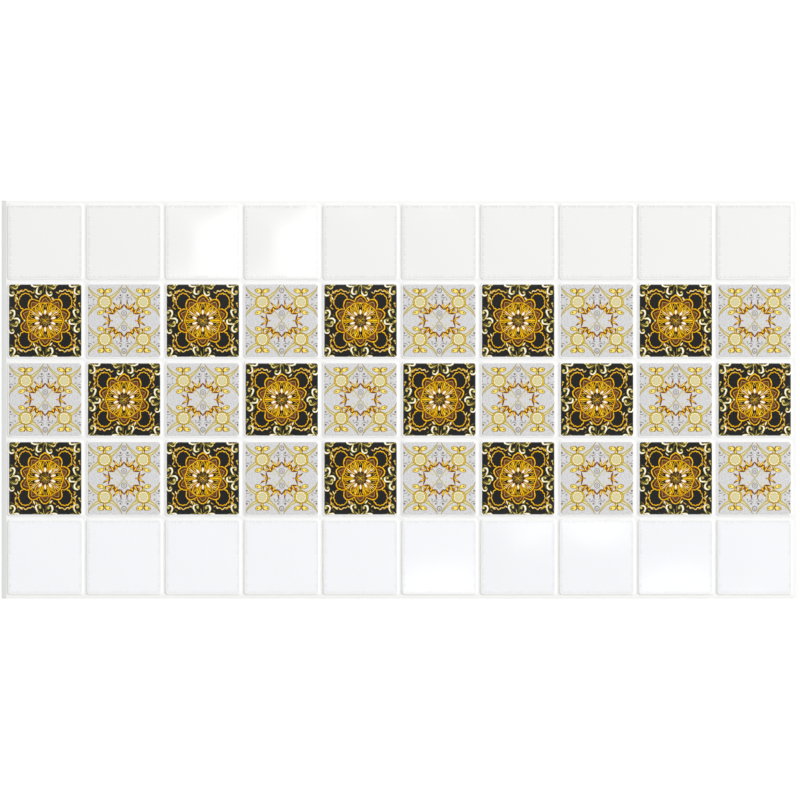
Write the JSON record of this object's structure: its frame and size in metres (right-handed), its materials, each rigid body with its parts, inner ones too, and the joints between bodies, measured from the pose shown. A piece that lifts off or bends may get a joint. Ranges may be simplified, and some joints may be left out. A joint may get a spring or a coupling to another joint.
{
  "type": "tile-relief wall panel",
  "caption": "Thin formed plastic wall panel: a grid of raised, softly crowned square tile fields with narrow grooves, flat lap border, ornament bands and hollow back.",
  "frame": {"origin": "middle of the bonding plane on the back, under the centre of the panel", "axes": "+X along the panel's long side, +Y up the wall, +Z out of the wall, towards the room"},
  "size_m": [0.96, 0.48, 0.0031],
  "materials": {
    "printed_sheet": "glossy white film with printed ornament on three bands of tile fields"
  },
  "bodies": {
    "root": {"tile_relief_sheet": "printed_sheet"}
  },
  "joints": []
}
